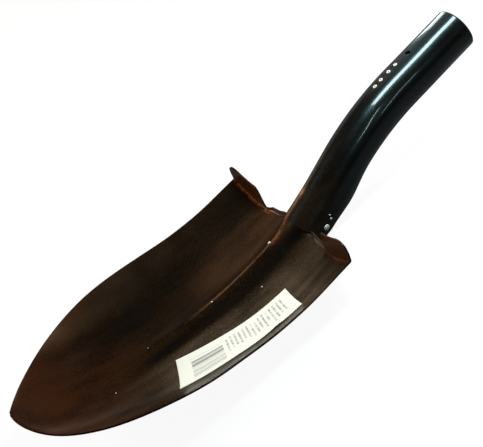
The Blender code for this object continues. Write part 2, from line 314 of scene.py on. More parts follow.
# %% [markdown]
# ## The treads
# The shoulders are folded forward, so that a foot can push on them. A fold follows a small
# arc and then runs flat to the free edge. That edge is high at the outer corner, sinks in
# a notch beside the socket and goes on as a low lip, where the fold opens to a wide curve.
# The flap is a second grid whose first row is the blade's last one. In the photograph the
# two sides aren't quite equal, so the notch and the lip have a value for each side: 1 is
# the left tread and -1 the right one.

# %% Shape of a tread
TREAD_HEIGHT = 0.0244
TREAD_CORNER = 0.017
TREAD_SPREAD = 0.0006
TREAD_ANGLE = math.radians(93.5)
FOLD_RADIUS = 0.0009
FOLD_SHARE = 3 / 7
SLOPE_STEP = 0.002
NOTCH = {1: 0.0515, -1: 0.0480}
NOTCH_WIDTH = 0.0085
NOTCH_PULL = 0.8
NOTCH_RISES_AT = 0.45
CURVE_OPENS_AT = 1.2
LIP_HEIGHT = {1: 0.0024, -1: 0.0030}
LIP_RISE = {1: 0.0032, -1: 0.0}
LIP_RISE_AT = 0.027
LIP_RISE_WIDTH = 0.0065
LIP_FROM = 0.0176
LIP_STARTS_OVER = 0.006
FIRST_RADIUS = 0.1
FIRST_HEIGHT = 0.15
LIP_END = 0.0210
LIP_LEAN = 0.0030
LIP_LEANS_OVER = 0.012
LIP_CURVE = {1: 0.0032, -1: 0.0030}


def tread_edge(across, side):
    """Where the free edge stands for these places on the crease: across, and height."""
    notch = NOTCH[side]
    inset = np.clip(across - (SHOULDER_WIDTH / 2 - TREAD_CORNER), 0.0, TREAD_CORNER)
    full = TREAD_HEIGHT - TREAD_CORNER + np.sqrt(TREAD_CORNER ** 2 - inset ** 2)
    lip = LIP_HEIGHT[side] + LIP_RISE[side] * hump(across, LIP_RISE_AT, LIP_RISE_WIDTH)
    height = lip + (full - lip) * smooth_step((across - notch) / NOTCH_WIDTH + NOTCH_RISES_AT)
    pull = NOTCH_PULL * hump(across, notch, NOTCH_WIDTH / 2)
    spread = TREAD_SPREAD * (inset / TREAD_CORNER) ** 2
    towards_socket = LIP_LEAN * np.clip(1 - (across - LIP_END) / LIP_LEANS_OVER, 0.0, None)
    return across + (notch - across) * pull + spread - towards_socket, height


def fold_radius(across, side):
    """Tight under the treads, wide at the lips, and nearly nothing where a lip starts."""
    wide = 1 - smooth_step((across - NOTCH[side]) / NOTCH_WIDTH + CURVE_OPENS_AT)
    started = rising(across, LIP_FROM, LIP_STARTS_OVER)
    return (FOLD_RADIUS + LIP_CURVE[side] * wide) * (FIRST_RADIUS + (1 - FIRST_RADIUS) * started)


def tread_points(side, share, row):
    """Points of a tread's front, for a share of the width and a row up the flap."""
    crease = blade_points(side * share, np.ones_like(row))
    out = np.abs(crease[..., 1])
    half = np.full_like(row, SHOULDER_WIDTH / 2)
    below = blade_height(crease[..., 0] - SLOPE_STEP, crease[..., 1], half)
    start = np.arctan2(crease[..., 2] - below, SLOPE_STEP)
    across, height = tread_edge(out, side)
    radius = fold_radius(out, side)
    started = rising(out, LIP_FROM, LIP_STARTS_OVER)
    height = height * (FIRST_HEIGHT + (1 - FIRST_HEIGHT) * started)
    folded = radius * (np.cos(start) - math.cos(TREAD_ANGLE))
    height = np.maximum(height, folded)
    angle = start + (TREAD_ANGLE - start) * np.minimum(row / FOLD_SHARE, 1.0)
    flat = np.clip((row - FOLD_SHARE) / (1 - FOLD_SHARE), 0.0, 1.0)
    rise = radius * (np.cos(start) - np.cos(angle)) + (height - folded) * flat
    reach = radius * (np.sin(angle) - np.sin(start))
    reach = reach + (height - folded) * flat / math.tan(TREAD_ANGLE)
    lean = (across - out) * rise / height
    return crease + np.stack([reach, side * lean, rise], axis=-1)


print("notches", NOTCH, "lips", LIP_HEIGHT)

# %% [markdown]
# ## From grids to one steel sheet
# The blade and its two flaps are three bent grids, which are merged at their shared rows
# and turned to face out of the dish. Solidify then thickens the sheet on its back, and a
# small bevel breaks the sharp cut edges, where a lacquered edge catches the light. The row
# that meets the socket stays square, so that the front runs on without a groove.

# %% Helpers for sheets


def bent_grid(columns, rows, place, uv_map=None):
    """A flat grid whose points are sent to place(u, v), both from 0 to 1. A UV map keeps u and v."""
    grid = bmesh.new()
    if uv_map:
        grid.loops.layers.uv.new(uv_map)
    bmesh.ops.create_grid(grid, x_segments=columns, y_segments=rows, size=0.5, calc_uvs=bool(uv_map))
    flat = np.array([vertex.co for vertex in grid.verts])
    placed = laid_down(place(flat[:, 0] + 0.5, flat[:, 1] + 0.5))
    for vertex, point in zip(grid.verts, placed):
        vertex.co = point
    return grid


def object_from(name, shape):
    """A new object with the mesh of a bmesh, which is freed."""
    mesh = bpy.data.meshes.new(name)
    shape.to_mesh(mesh)
    shape.free()
    return new_object(name, mesh)


def add_thickness(obj, thickness, offset):
    wall = obj.modifiers.new("thickness", "SOLIDIFY")
    wall.thickness = thickness
    wall.offset = offset
    wall.use_even_offset = True


def bake(obj):
    """Turns what the object's modifiers make into its own plain mesh."""
    graph = bpy.context.evaluated_depsgraph_get()
    mesh = bpy.data.meshes.new_from_object(obj.evaluated_get(graph))
    obj.modifiers.clear()
    obj.data = mesh
    mesh.name = obj.name
    return obj


# %% Press the blade
BLADE_COLUMNS = 168
BLADE_ROWS = 150
TREAD_ROWS = 21
COLUMN_SPACING = ((0.0, 0.0), (0.15, 0.12), (0.385, 0.45), (0.65, 0.605), (1.0, 1.0))
SAME_POINT = 0.00001


def column_share(column):
    return np.copysign(curve(COLUMN_SPACING, np.abs(column)), column)


steps = np.arange(BLADE_COLUMNS // 2 + 1) * 2 / BLADE_COLUMNS
inner = min(step for step in steps if column_share(step) * SHOULDER_WIDTH / 2 >= LIP_FROM)
tread_columns = round(BLADE_COLUMNS / 2 * (1 - inner))
sheet = bent_grid(BLADE_COLUMNS, BLADE_ROWS, lambda u, v: blade_points(column_share(1 - 2 * u), v))
flap_mesh = bpy.data.meshes.new("flap")
for side in (-1, 1):
    flap = bent_grid(
        tread_columns, TREAD_ROWS,
        lambda u, v: tread_points(side, column_share(inner + (1 - inner) * u), v),
    )
    flap.to_mesh(flap_mesh)
    flap.free()
    sheet.from_mesh(flap_mesh)
bpy.data.meshes.remove(flap_mesh)
bmesh.ops.remove_doubles(sheet, verts=sheet.verts, dist=SAME_POINT)
bmesh.ops.recalc_face_normals(sheet, faces=sheet.faces)
bmesh.ops.reverse_faces(sheet, faces=sheet.faces)
pressed_blade = object_from("pressed_blade", sheet)
add_thickness(pressed_blade, SHEET, -1)
bake(pressed_blade)
print("pressed blade faces:", len(pressed_blade.data.polygons))

# %% Break the blade's cut edges
JOINT_TOLERANCE = 0.0012
SHARP = math.radians(55)
BLADE_EDGE_WIDTH = 0.00035


def on_joint(point):
    """Whether a point is on the weld face, where the blade meets the socket."""
    in_blade = LAY_DOWN.inverted() @ point
    offset = in_blade - Vector(NECK_START)
    along_axis = offset.x * math.cos(NECK_ANGLE) + offset.z * math.sin(NECK_ANGLE)
    return abs(along_axis - JOINT_AT) < JOINT_TOLERANCE and abs(in_blade.y) < LIP_FROM


def break_edges(obj, width):
    """Bevels the cut edges, except those with both ends on the joint."""
    shape = bmesh.new()
    shape.from_mesh(obj.data)
    cut = []
    for edge in shape.edges:
        if edge.calc_face_angle(0.0) > SHARP:
            if all(on_joint(vertex.co) for vertex in edge.verts):
                edge.smooth = False
            else:
                cut.append(edge)
    bmesh.ops.bevel(
        shape, geom=cut, offset=width, segments=2, profile=0.5, affect="EDGES", clamp_overlap=True
    )
    shape.to_mesh(obj.data)
    shape.free()
    obj.data.shade_smooth()
    print(obj.name, "cut edges rounded:", len(cut), "faces:", len(obj.data.polygons))


break_edges(pressed_blade, BLADE_EDGE_WIDTH)

# %% [markdown]
# ## The rolled socket
# The socket is a sheet rolled round a line that is straight, bends, and is straight again.
# That is a rule, so Geometry Nodes make it: a grid is rolled round the sampled line, with
# the turn round the axis from one direction of the grid and the distance along it from the
# other. Its lower end is cut square in front, where it meets the blade, and slants to a
# back corner where the socket stays open. The sizes are inputs of the tree, so another
# spade needs no new nodes. A small kit first lets nodes be written as plain arithmetic.

# %% Values of a node tree that take part in arithmetic
SIGNS = {"add": "ADD", "sub": "SUBTRACT", "mul": "MULTIPLY", "truediv": "DIVIDE", "pow": "POWER"}


class Value:
    """An output in a node tree. The signs of arithmetic between values add math nodes."""

    def __init__(self, kit, socket):
        self.kit = kit
        self.socket = socket


for sign, operation in SIGNS.items():
    setattr(Value, f"__{sign}__", lambda a, b, name=operation: a.kit.math(name, a, b))
    setattr(Value, f"__r{sign}__", lambda a, b, name=operation: a.kit.math(name, b, a))

# %% A small kit for building node trees


class Nodes:
    """Adds nodes to a tree and links them, one call for each node."""

    def __init__(self, tree):
        self.tree = tree

    def put(self, target, value):
        """Links a value of the tree to an input, or sets a plain one."""
        value = getattr(value, "socket", value)
        if isinstance(value, bpy.types.NodeSocket):
            self.tree.links.new(value, target)
        else:
            target.default_value = (*value, 1.0) if target.type == "RGBA" else value

    def node(self, kind, inputs, **settings):
        made = self.tree.nodes.new(kind)
        for key, value in settings.items():
            setattr(made, key, value)
        for key, value in inputs.items():
            self.put(made.inputs[key], value)
        return made

    def out(self, kind, inputs, output=0, **settings):
        """Adds a node too, and gives one of its outputs."""
        return Value(self, self.node(kind, inputs, **settings).outputs[output])

    def math(self, operation, *values):
        return self.out("ShaderNodeMath", dict(enumerate(values)), operation=operation)

    def vector(self, operation, *values, **named):
        inputs = {**dict(enumerate(values)), **named}
        return self.out("ShaderNodeVectorMath", inputs, operation=operation)

    def hump(self, value, centre, width):
        """1 at the centre, falling away smoothly on both sides."""
        off = (value - centre) / width
        return self.math("EXPONENT", off * off * -1.0)

    def between(self, value, low, high):
        """Smoothly 0 at low and before it, and 1 at high and beyond it."""
        inputs = {"Value": value, "From Min": low, "From Max": high}
        return self.out("ShaderNodeMapRange", inputs, interpolation_type="SMOOTHSTEP")


# %% A kit for trees that make shapes


class ShapeTree(Nodes):
    """A geometry node tree with one geometry in and one out."""

    def __init__(self, name):
        super().__init__(bpy.data.node_groups.new(name, "GeometryNodeTree"))
        for way in ("INPUT", "OUTPUT"):
            self.tree.interface.new_socket("Geometry", in_out=way, socket_type="NodeSocketGeometry")
        self.entry = self.tree.nodes.new("NodeGroupInput")
        self.exit = self.tree.nodes.new("NodeGroupOutput")

    def size(self, name, kind):
        """A named input of the tree."""
        self.tree.interface.new_socket(name, in_out="INPUT", socket_type="NodeSocket" + kind)
        return Value(self, self.entry.outputs[name])

    def sizes(self, values):
        """One named input for each of these values, in their order."""
        return [self.size(name, "Int" if type(values[name]) is int else "Float") for name in values]

    def finish(self, geometry):
        """Ends the tree, with smooth shading, as one real geometry that has its material."""
        smooth = self.out("GeometryNodeSetShadeSmooth", {"Geometry": geometry, "Shade Smooth": True})
        whole = self.out("GeometryNodeRealizeInstances", {"Geometry": smooth})
        material = self.size("Material", "Material")
        painted = self.out("GeometryNodeSetMaterial", {"Geometry": whole, "Material": material})
        self.put(self.exit.inputs[0], painted)
        print(f"{self.tree.name}: {len(self.tree.nodes)} nodes")
        return self.tree


def run_tree(obj, tree, sizes):
    """Puts the tree on the object, sets its inputs by their identifiers, and bakes it."""
    modifier = obj.modifiers.new(tree.name, "NODES")
    modifier.node_group = tree
    for item in tree.interface.items_tree:
        if item.in_out == "INPUT" and item.name in sizes:
            modifier[item.identifier] = sizes[item.name]
    bake(obj)
    print(obj.name, "faces:", len(obj.data.polygons))


# %% The line that the socket is rolled round
SIDEWAYS = (0.0, 1.0, 0.0)
AXIS_POINTS = 240


def axis_points(at):
    """Points of the socket's axis at these distances, as rows, and the axis's angles there."""
    straight = np.minimum(at, NECK_STRAIGHT)
    turned = np.clip(at - NECK_STRAIGHT, 0.0, BEND_LENGTH) / BEND_RADIUS
    angle = NECK_ANGLE - turned
    last = np.clip(at - NECK_STRAIGHT - BEND_LENGTH, 0.0, None)
    x = straight * math.cos(NECK_ANGLE) + BEND_RADIUS * (math.sin(NECK_ANGLE) - np.sin(angle))
    z = straight * math.sin(NECK_ANGLE) + BEND_RADIUS * (np.cos(angle) - math.cos(NECK_ANGLE))
    x = x + last * np.cos(angle)
    z = z + last * np.sin(angle)
    return np.array(NECK_START) + np.stack([x, np.zeros_like(x), z], axis=-1), angle


def around_socket(at, turn, radius):
    """Points at a radius from the socket's axis. Turn 0 is its front, pi its back."""
    at, turn, radius = np.broadcast_arrays(at, turn, radius)
    middle, slope = axis_points(at)
    front = np.stack([-np.sin(slope), np.zeros_like(slope), np.cos(slope)], axis=-1)
    way = np.cos(turn)[..., None] * front + np.sin(turn)[..., None] * np.array(SIDEWAYS)
    return middle + radius[..., None] * way


def line_object(name, points):
    """An object whose mesh is one open line through the points."""
    mesh = bpy.data.meshes.new(name)
    mesh.from_pydata([tuple(p) for p in points], [(k, k + 1) for k in range(len(points) - 1)], [])
    return new_object(name, mesh)


axis_line, _ = axis_points(np.linspace(0.0, SOCKET_END, AXIS_POINTS))
rolled_socket = line_object("rolled_socket", laid_down(axis_line))
print("the axis ends at", [round(c, 4) for c in axis_line[-1]])

# %% The tree that rolls a sheet: where each point of the grid goes
SOCKET_SIZES = {
    "Radius at the neck": SOCKET_RADIUS_LOW,
    "Radius at the mouth": SOCKET_RADIUS_MOUTH,
    "Joint distance": JOINT_AT,
    "Joint half angle": JOINT_HALF_ANGLE,
    "Back corner distance": BACK_CORNER_AT,
    "End curve": 3.0,
    "Back flare": BACK_FLARE,
    "Front flare": FRONT_FLARE,
    "Front flare length": 0.040,
    "Side drop": 0.0065,
    "Side drop angle": math.radians(100),
    "Side drop width": math.radians(15),
    "Seam half angle": SEAM_GAP / 2 / SOCKET_RADIUS_LOW,
    "Columns": 145,
    "Rows": 161,
}

roll = ShapeTree("rolled sheet")
(low, mouth, joint, half_angle, corner, end_curve, flare, front_flare, front_length,
 side_drop, drop_at, drop_width, seam_half, columns, rows) = roll.sizes(SOCKET_SIZES)
line = roll.out("GeometryNodeMeshToCurve", {"Mesh": roll.entry.outputs[0]})
length = roll.out("GeometryNodeCurveLength", {"Curve": line})
flat = roll.out(
    "GeometryNodeMeshGrid", {"Size X": 1.0, "Size Y": 1.0, "Vertices X": columns, "Vertices Y": rows}
)
place = {"Vector": roll.out("GeometryNodeInputPosition", {})}
sideways, upwards = (roll.out("ShaderNodeSeparateXYZ", place, axis) for axis in "XY")
turn = sideways * 2.0 * (math.pi - seam_half)
from_front = roll.math("ABSOLUTE", turn)
share = roll.math("MAXIMUM", from_front - half_angle, 0.0) / (math.pi - half_angle)
dropped = joint - side_drop * roll.hump(from_front, drop_at, drop_width)
foot = dropped + (corner - joint) * share ** end_curve
distance = (length - foot) * (upwards + 0.5) + foot
print("rolled sheet so far:", len(roll.tree.nodes), "nodes")

# %% The tree that rolls a sheet: its radius, and the roll itself
FRONT_SWELLS_TO = math.radians(120)
FRONT_FULL_TO = math.radians(60)
FRONT_FLARE_CURVE = 1.5

back = roll.math("MAXIMUM", from_front / math.pi - FLARE_FROM, 0.0) / (1 - FLARE_FROM)
bulge = flare * back ** FLARE_CURVE * roll.hump(distance, corner, FLARE_LENGTH)
from_joint = roll.math("MAXIMUM", distance - joint, 0.0) / front_length
near_blade = roll.math("MAXIMUM", 1.0 - from_joint, 0.0) ** FRONT_FLARE_CURVE
swell = front_flare * near_blade * roll.between(from_front, FRONT_SWELLS_TO, FRONT_FULL_TO)
radius = low + (mouth - low) * distance / length + bulge + swell
sample = roll.node(
    "GeometryNodeSampleCurve", {"Curves": line, "Length": distance}, mode="LENGTH", use_all_curves=True
)
to_front = roll.vector("CROSS_PRODUCT", sample.outputs["Tangent"], SIDEWAYS)
outwards = roll.vector(
    "ADD",
    roll.vector("SCALE", to_front, Scale=roll.math("COSINE", turn)),
    roll.vector("SCALE", SIDEWAYS, Scale=roll.math("SINE", turn)),
)
on_sheet = roll.vector("ADD", sample.outputs["Position"], roll.vector("SCALE", outwards, Scale=radius))
rolling_tree = roll.finish(
    roll.out("GeometryNodeSetPosition", {"Geometry": flat, "Position": on_sheet})
)

# %% [markdown]
# ## Thickness, nail hole and soft edges for the socket
# The rolled skin is the outside of the socket, so its faces are turned outwards and its
# wall grows inwards. One nail holds a wooden handle, through a hole that is drilled with a
# Boolean. The rim at the mouth and the slanting foot are then rounded a little, but not the
# short row that meets the blade.

# %% Roll the socket
run_tree(rolled_socket, rolling_tree, SOCKET_SIZES)
rolled_socket.data.flip_normals()
add_thickness(rolled_socket, SHEET, -1)

# %% Drill the socket and break its edges
NAIL_HOLE_DIAMETER = 0.0048
NAIL_HOLE_FROM_MOUTH = 0.051
SOCKET_EDGE_WIDTH = 0.0003

hole_at = SOCKET_END - NAIL_HOLE_FROM_MOUTH
middle, outside = (
    Vector(laid_down(around_socket(hole_at, 0.0, radius))) for radius in (0.0, SOCKET_RADIUS_MOUTH)
)
drill_shape = bmesh.new()
bmesh.ops.create_cone(
    drill_shape, cap_ends=True, segments=40, depth=4 * SHEET,
    radius1=NAIL_HOLE_DIAMETER / 2, radius2=NAIL_HOLE_DIAMETER / 2,
)
drill = object_from("nail_hole_drill", drill_shape)
drill.location = outside
drill.rotation_euler = (outside - middle).to_track_quat("Z", "Y").to_euler()
cut = rolled_socket.modifiers.new("nail hole", "BOOLEAN")
cut.operation = "DIFFERENCE"
cut.object = drill
bpy.context.view_layer.update()
bake(rolled_socket)
bpy.data.objects.remove(drill, do_unlink=True)
break_edges(rolled_socket, SOCKET_EDGE_WIDTH)

# %% Keep both pieces inside the CAD's box


def points_of(piece):
    """The places of the piece's points, as rows."""
    flat = np.empty(3 * len(piece.data.vertices))
    piece.data.vertices.foreach_get("co", flat)
    return flat.reshape(-1, 3)


for piece in (pressed_blade, rolled_socket):
    outside = points_of(piece)
    inside = np.clip(outside, *cad_box)
    piece.data.vertices.foreach_set("co", inside.ravel())
    print(piece.name, f"moved by at most {np.abs(inside - outside).max() * 1000:.3f} mm")

# %% [markdown]
# ## Weld beads
# A weld bead is a row of small frozen waves. One tree makes both beads: it walks along a
# line, swells and thins the radius once for every wave, and sweeps a small circle along.
# The seam bead fills the gap at the back of the socket, and the short neck bead joins the
# socket to the blade from the inside.

# %% The tree that lays a bead
GAP = 0.0003
BEAD_STEP = 0.0004
WOBBLES_PER_METRE = 260.0
BEAD_SIZES = {"Bead radius": SEAM_GAP / 2 - GAP, "Wave length": 0.0021, "Wave height": 0.09, "Seed": 3}

bead = ShapeTree("weld bead")
bead_radius, wave_length, wave_height, bead_seed = bead.sizes(BEAD_SIZES)
path = bead.out("GeometryNodeMeshToCurve", {"Mesh": bead.entry.outputs[0]})
walked = bead.out("GeometryNodeResampleCurve", {"Curve": path, "Length": BEAD_STEP}, mode="LENGTH")
gone = bead.out("GeometryNodeSplineParameter", {}, "Length")
wobble_at = {"W": gone * WOBBLES_PER_METRE + bead_seed, "Scale": 1.0}
wobble = bead.out("ShaderNodeTexNoise", wobble_at, noise_dimensions="1D")
wave = bead.math("SINE", (gone / wave_length + wobble) * (2 * math.pi))
swell = (wave - 1.0) * wave_height + 1.0
swollen = bead.out("GeometryNodeSetCurveRadius", {"Curve": walked, "Radius": swell})
ring = bead.out("GeometryNodeCurvePrimitiveCircle", {"Resolution": 12, "Radius": bead_radius})
swept = {"Curve": swollen, "Profile Curve": ring, "Fill Caps": True}
bead_tree = bead.finish(bead.out("GeometryNodeCurveToMesh", swept))

# %% Lay the two beads
BEAD_INSET = 0.001
NECK_BEAD_RADIUS = 0.0015
NECK_BEAD_HALF_ANGLE = 1.35 * JOINT_HALF_ANGLE


at = np.linspace(BACK_CORNER_AT + BEAD_INSET, SOCKET_END - BEAD_INSET, 200)
radius = SOCKET_RADIUS_LOW + (SOCKET_RADIUS_MOUTH - SOCKET_RADIUS_LOW) * at / SOCKET_END
radius = radius + BACK_FLARE * hump(at, BACK_CORNER_AT, FLARE_LENGTH) - SHEET / 2 + GAP
seam_bead = line_object("seam_bead", laid_down(around_socket(at, math.pi, radius)))
run_tree(seam_bead, bead_tree, BEAD_SIZES)
turns = np.linspace(-NECK_BEAD_HALF_ANGLE, NECK_BEAD_HALF_ANGLE, 110)
neck_line = around_socket(JOINT_AT, turns, JOINT_RADIUS - SHEET - GAP - NECK_BEAD_RADIUS)
neck_bead = line_object("neck_bead", laid_down(neck_line))
run_tree(neck_bead, bead_tree, {**BEAD_SIZES, "Bead radius": NECK_BEAD_RADIUS, "Seed": 8})

# %% [markdown]
# ## Drops and punch marks
# Dipped lacquer leaves small drops where it runs together, and a punch seems to have left
# four little rings with raised edges in a row beside the nail hole. They are tiny and alike,
# so one tree sets them: it reads a point, the way the surface faces there and a size, and
# puts a flat drop or a raised ring on it. Every point is taken from the finished surface,
# so nothing floats.

# %% The tree that sets small marks
MARK_SIZES = {"Drop flatness": 0.55, "Ring thickness": 0.48}

spots = ShapeTree("small marks")
drop_flatness, ring_thickness = spots.sizes(MARK_SIZES)


def read(name, kind):
    found = spots.node("GeometryNodeInputNamedAttribute", {"Name": name}, data_type=kind)
    return Value(spots, next(output for output in found.outputs if output.enabled))


is_ring = read("ring", "BOOLEAN")
way = {"Vector": read("way", "FLOAT_VECTOR")}
ball = spots.out("GeometryNodeMeshIcoSphere", {"Radius": 1.0, "Subdivisions": 4})
flatness = spots.out("ShaderNodeCombineXYZ", {"X": 1.0, "Y": 1.0, "Z": drop_flatness})
circle, section = (
    spots.out("GeometryNodeCurvePrimitiveCircle", {"Resolution": resolution, "Radius": radius})
    for resolution, radius in ((32, 1.0), (12, ring_thickness))
)
marked = {
    "Points": spots.out("GeometryNodeMeshToPoints", {"Mesh": spots.entry.outputs[0]}),
    "Rotation": spots.out("FunctionNodeAlignRotationToVector", way, axis="Z"),
    "Scale": read("size", "FLOAT"),
}
both_kinds = spots.node("GeometryNodeJoinGeometry", {})
for shape, chosen in (
    (spots.out("GeometryNodeTransform", {"Geometry": ball, "Scale": flatness}), 1.0 - is_ring),
    (spots.out("GeometryNodeCurveToMesh", {"Curve": circle, "Profile Curve": section}), is_ring),
):
    placed = {**marked, "Selection": chosen, "Instance": shape}
    spots.put(both_kinds.inputs[0], spots.out("GeometryNodeInstanceOnPoints", placed))
marks_tree = spots.finish(both_kinds.outputs[0])

# %% [markdown]
# ## Where the drops and the rings are
# The rings stand in a row at these distances along the socket's axis, and a socket drop at
# a distance and a turn in degrees from the front. A drop on the blade is placed along and
# across it, and the last number of each drop is its radius. The largest hangs low on the
# socket's foot.

# %% Set the drops and the rings
RING_ROW = (0.1763, 0.1676, 0.1585, 0.1512)
RING_TURN = 2.5
RING_SIZE = 0.0013
SOCKET_DROPS = ((0.0293, -96, 0.0030), (0.0378, -94, 0.0013), (0.0402, -84, 0.0009))
BLADE_DROPS = ((0.2570, 0.0036, 0.0014), (0.1870, 0.0004, 0.0008), (0.2279, -0.0212, 0.0006),
               (0.1203, 0.0044, 0.0005), (0.0771, -0.0226, 0.0005))
JUST_OUTSIDE = 0.024
JUST_ABOVE = 0.001


def marks_on(name, piece, marks):
    """Marks on a piece: each is a place near it, a size, and whether it is a ring."""
    bpy.context.view_layer.update()
    mesh = bpy.data.meshes.new(name)
    found = [piece.closest_point_on_mesh(Vector(laid_down(place))) for place, _, _ in marks]
    mesh.from_pydata([tuple(hit[1]) for hit in found], [], [])
    for layer, kind, field, values in (
        ("way", "FLOAT_VECTOR", "vector", [c for hit in found for c in hit[2]]),
        ("size", "FLOAT", "value", [size for _, size, _ in marks]),
        ("ring", "BOOLEAN", "value", [ring for _, _, ring in marks]),
    ):
        mesh.attributes.new(layer, kind, "POINT").data.foreach_set(field, values)
    made = new_object(name, mesh)
    run_tree(made, marks_tree, MARK_SIZES)
    return made


def above_socket(at, turn):
    return around_socket(at, math.radians(turn), JUST_OUTSIDE)


def above_blade(along, across):
    return np.array((along, across, float(blade_height(along, across, half_width(along))) + JUST_ABOVE))


socket_marks = marks_on("socket_marks", rolled_socket, (
    *((above_socket(at, RING_TURN), RING_SIZE, True) for at in RING_ROW),
    *((above_socket(at, turn), size, False) for at, turn, size in SOCKET_DROPS),
))
blade_marks = marks_on("blade_marks", pressed_blade, tuple(
    (above_blade(along, across), size, False) for along, across, size in BLADE_DROPS
))

# %% [markdown]
# ## The paper label
# The label is a strip of paper stuck on the dish beside the right edge. It follows the
# curve of the steel, so it is a bent grid too, laid a hair above the blade. Its outer edge
# isn't quite straight, because the paper has crept and creased a little there. A UV map
# carries the print.

# %% Lay the label
LABEL_THICKNESS = 0.00018
LABEL_NEAR_END = ((0.132, -0.027), (0.119, -0.066))
LABEL_FAR_END = ((0.240, -0.041), (0.235, -0.080))
LABEL_BOW = 0.003
LABEL_COLUMNS = 120
LABEL_ROWS = 48
LABEL_LIFT = 0.00030
LABEL_CREEP = ((0.0010, 0.78, 0.05), (-0.0008, 0.55, 0.12))
CREASE = (0.78, 0.06)
CREASE_LIFT = 0.0005
CREASED_EDGE = 0.1


def label_points(u, v):
    """Points of the paper: u from the near end to the far one, v from the inner edge out."""
    near, far = (np.outer(1 - v, a) + np.outer(v, b) for a, b in (LABEL_NEAR_END, LABEL_FAR_END))
    place = near * (1 - u)[:, None] + far * u[:, None]
    along = place[:, 0]
    across = place[:, 1] - 4 * LABEL_BOW * u * (1 - u)
    across = across + v * sum(size * hump(u, centre, width) for size, centre, width in LABEL_CREEP)
    lift = LABEL_LIFT + CREASE_LIFT * rising(v, 1 - CREASED_EDGE, CREASED_EDGE) * hump(u, *CREASE)
    height = blade_height(along, across, half_width(along)) + lift
    return np.stack([along, across, height], axis=-1)


paper = bent_grid(LABEL_COLUMNS, LABEL_ROWS, label_points, uv_map="print")
bmesh.ops.reverse_faces(paper, faces=paper.faces)
label = object_from("label", paper)
label.data.shade_smooth()
add_thickness(label, LABEL_THICKNESS, 1)
bake(label)
print("label faces:", len(label.data.polygons))

# %% [markdown]
# ## Lacquer and weld
# The whole head was dipped in one dark lacquer. It is thin and brown over the blade, warmest
# towards the point and on the treads, and blue black on the socket. Painted shade turns the
# socket's right side and some bands of the blade to the same blue black. Dust lies on the
# right side of the dish, painted light brightens the left side near the crest, and painted
# coppery highlights run along the fold of the left tread, the crest and the neck's left flank.
# Such places follow the shape, so they are worked out per point in the blade's frame and
# stored as attributes: a hump has a centre and a width, and a rise or a fade has a start or
# an end and a length, all in metres.
#
# One function makes the finish for blade, socket and beads. Noise breaks it up at several
# sizes: wide clouds and slow waves, streaks along the blade, the pebbling of dried lacquer,
# and specks. A clear coat gives the socket its sharp second highlight where it is blue
# black. All noise reads the object's own coordinates, so it stays on the steel.

# %% A kit for finishes


class Finish(Nodes):
    """A material made of one Principled shader and the nodes that feed it."""

    def __init__(self, name, **constants):
        self.material = bpy.data.materials.new(name)
        self.material.use_nodes = True
        super().__init__(self.material.node_tree)
        self.shader = self.tree.nodes["Principled BSDF"]
        self.place = self.out("ShaderNodeTexCoord", {}, "Object")
        for key, value in constants.items():
            self.feed(key.replace("_", " "), value)

    def feed(self, name, value):
        self.put(self.shader.inputs[name], value)

    def noise(self, size, detail=3.0, roughness=0.5, stretch=(1.0, 1.0, 1.0)):
        """Smooth noise from 0 to 1 whose clouds are about this many metres wide."""
        place = self.vector("MULTIPLY", self.place, tuple(s / size for s in stretch))
        inputs = {"Vector": place, "Scale": 1.0, "Detail": detail, "Roughness": roughness}
        return self.out("ShaderNodeTexNoise", inputs)

    def mix(self, share, first, second):
        """The first colour at a share of 0 or less, and the second from 1 on."""
        return self.out("ShaderNodeMix", {0: share, 6: first, 7: second}, 2, data_type="RGBA")

    def relief(self, *layers):
        """Bumps in metres, each (height from 0 to 1, how high 1 is), laid on each other."""
        below = {}
        for height, depth in layers:
            inputs = {"Height": height, "Distance": depth, **below}
            below = {"Normal": self.out("ShaderNodeBump", inputs)}
        return below["Normal"]


# %% Helpers that mark a piece


def in_blade_frame(piece):
    """The piece's points in the blade's frame, as three rows: along, across and height."""
    return ((points_of(piece) - np.array(LAY_DOWN.translation)) @ np.array(LAY_DOWN.to_3x3())).T


def mark(piece, **shares):
    """Stores shares from 0 to 1 for each point, for the finish to read."""
    for name, amount in shares.items():
        layer = piece.data.attributes.new(name, "FLOAT", "POINT")
        layer.data.foreach_set("value", np.clip(amount, 0.0, 1.0).astype(np.float32))
        print(f"{piece.name} {name}: mean {amount.mean():.3f}")


# %% Where the blade's lacquer is thin, dusty or dull, and where light, shade and highlights are painted on it
along, across, height = in_blade_frame(pressed_blade)
aside = np.abs(across)
towards_point = fading(along, 0.15, 0.15)
near_rim = np.exp(-np.clip(half_width(along) - aside, 0.0, None) / 0.006)
# Painted light: the left side of the dish near the crest is lightened, where the light falls on it.
by_crest = hump(across, 0.036, 0.030) * rising(along, 0.17, 0.06)
# Painted highlight: a light line along the crest of the ridge.
crest_line = hump(across, 0.0010, 0.0012) * rising(along, 0.150, 0.050) * fading(along, 0.262, 0.010)
# Painted highlight: a coppery stripe down the left flank of the neck.
flank = hump(across, 0.0026 + 0.25 * (along - 0.270), 0.0024) * rising(along, 0.254, 0.006)
# Painted shade: dark bands on the ridge's right flank, near the left rim, across the left dish and low on
# the right side.
beside_ridge = hump(across, -0.0120, 0.0060) * rising(along, 0.08, 0.06)
left_rim = hump(across, 0.080, 0.024) * rising(along, 0.09, 0.06)
left_dish = hump(across, 0.046, 0.020) * hump(along, 0.110, 0.050)
low_right = fading(across, -0.035, 0.020) * hump(along, 0.098, 0.032)

crease_at = shoulder_line(aside)
crease_height = blade_height(crease_at, across, np.full_like(across, SHOULDER_WIDTH / 2))
on_tread = rising(along - crease_at, -0.0014, 0.0010) * rising(aside, 0.036, 0.012)
left_tread = on_tread * (across > 0)
# Painted highlight: a coppery line along the folds, strong on the left tread and faint on the right; the
# left tread's face is warmed a little too.
at_fold = on_tread * hump(height, crease_height + 0.0004, 0.0009)
at_fold = at_fold * np.where(across > 0, rising(aside, 0.038, 0.006), 0.35 * rising(aside, 0.056, 0.010))

